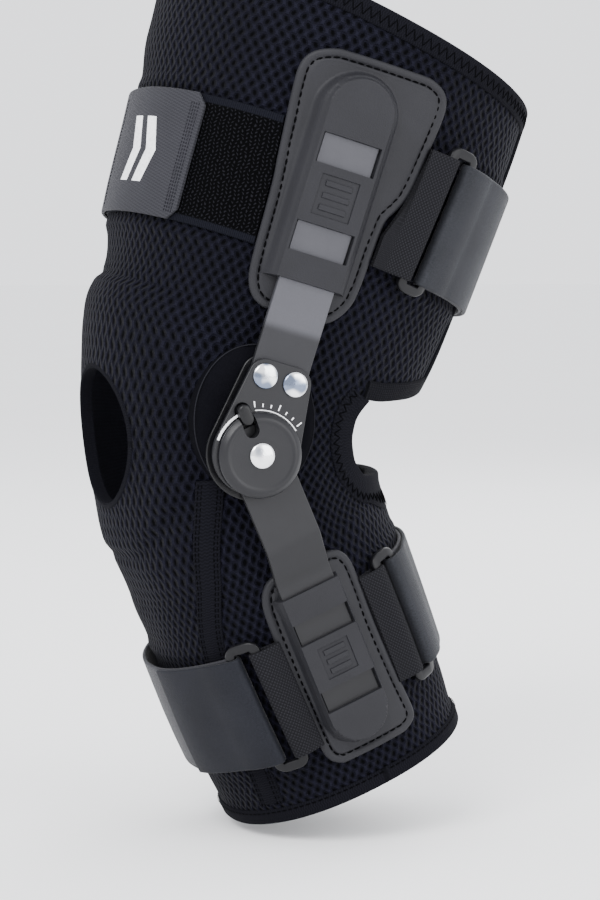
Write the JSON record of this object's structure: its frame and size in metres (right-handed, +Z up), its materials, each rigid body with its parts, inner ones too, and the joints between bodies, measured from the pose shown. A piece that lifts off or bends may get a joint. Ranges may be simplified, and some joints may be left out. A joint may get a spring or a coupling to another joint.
{
  "type": "hinged knee orthosis",
  "caption": "Hinged knee orthosis held bent: a mesh sleeve open over the kneecap and behind the knee, with side hinges on bars in moulded pockets, buckled straps and bound edges.",
  "frame": {"origin": "middle of the knee, where the axes of the thigh and the calf meet between the two side hinges", "axes": "+Z up along the standing leg, +X to the outer side of the leg, -Y to the front of the knee"},
  "size_m": [0.1612, 0.1737, 0.343],
  "materials": {
    "spacer_mesh": "knitted spacer mesh, near black navy",
    "edge_tape": "black elastic tape with zigzag stitches",
    "loop_pile": "black loop pile",
    "velour": "black velour",
    "strap": "smooth dark grey-blue strap",
    "webbing": "dark grey webbing with a fine grain",
    "buckle_plastic": "grey moulded plastic",
    "hinge_plastic": "satin black",
    "bar_steel": "satin dark grey",
    "rivet_chrome": "polished",
    "pocket_rubber": "matte moulded rubber"
  },
  "bodies": {
    "orthosis": {"sleeve": "spacer_mesh", "top_binding": "edge_tape", "bottom_binding": "edge_tape", "kneecap_rim": "edge_tape", "hollow_binding": "edge_tape", "thigh_loop_patch": "loop_pile", "thigh_front_strap": "strap", "thigh_rear_webbing": "webbing", "thigh_rear_buckle": "buckle_plastic", "thigh_rear_strap": "strap", "calf_front_webbing": "webbing", "calf_front_buckle": "buckle_plastic", "calf_front_strap": "strap", "calf_rear_webbing": "webbing", "calf_rear_buckle": "buckle_plastic", "calf_rear_strap": "strap", "outer_flap_tape": "edge_tape", "inner_flap_tape": "edge_tape", "outer_flap_edge": "edge_tape", "inner_flap_edge": "edge_tape", "outer_stay_channel": "edge_tape", "inner_stay_channel": "edge_tape", "outer_hinge_pad": "velour", "inner_hinge_pad": "velour", "outer_back_plate": "hinge_plastic", "inner_back_plate": "hinge_plastic", "outer_upper_bar": "bar_steel", "inner_upper_bar": "bar_steel", "outer_lower_bar": "bar_steel", "inner_lower_bar": "bar_steel", "outer_head_plate": "hinge_plastic", "inner_head_plate": "hinge_plastic", "outer_hinge_cap": "hinge_plastic", "inner_hinge_cap": "hinge_plastic", "outer_pivot_rivet": "rivet_chrome", "inner_pivot_rivet": "rivet_chrome", "outer_front_rivet": "rivet_chrome", "inner_front_rivet": "rivet_chrome", "outer_back_rivet": "rivet_chrome", "inner_back_rivet": "rivet_chrome", "outer_upper_pocket": "pocket_rubber", "inner_upper_pocket": "pocket_rubber", "outer_lower_pocket": "pocket_rubber", "inner_lower_pocket": "pocket_rubber"},
    "outer_lever": {"outer_lock_lever": "hinge_plastic"},
    "inner_lever": {"inner_lock_lever": "hinge_plastic"}
  },
  "joints": [
    {"name": "outer_lock_slide", "type": "slide", "parent": "orthosis", "child": "outer_lever", "axis": [0, 0.3698, -0.9291], "range_m": [0, 0.0045]},
    {"name": "inner_lock_slide", "type": "slide", "parent": "orthosis", "child": "inner_lever", "axis": [0, 0.3698, -0.9291], "range_m": [0, 0.0045]}
  ]
}
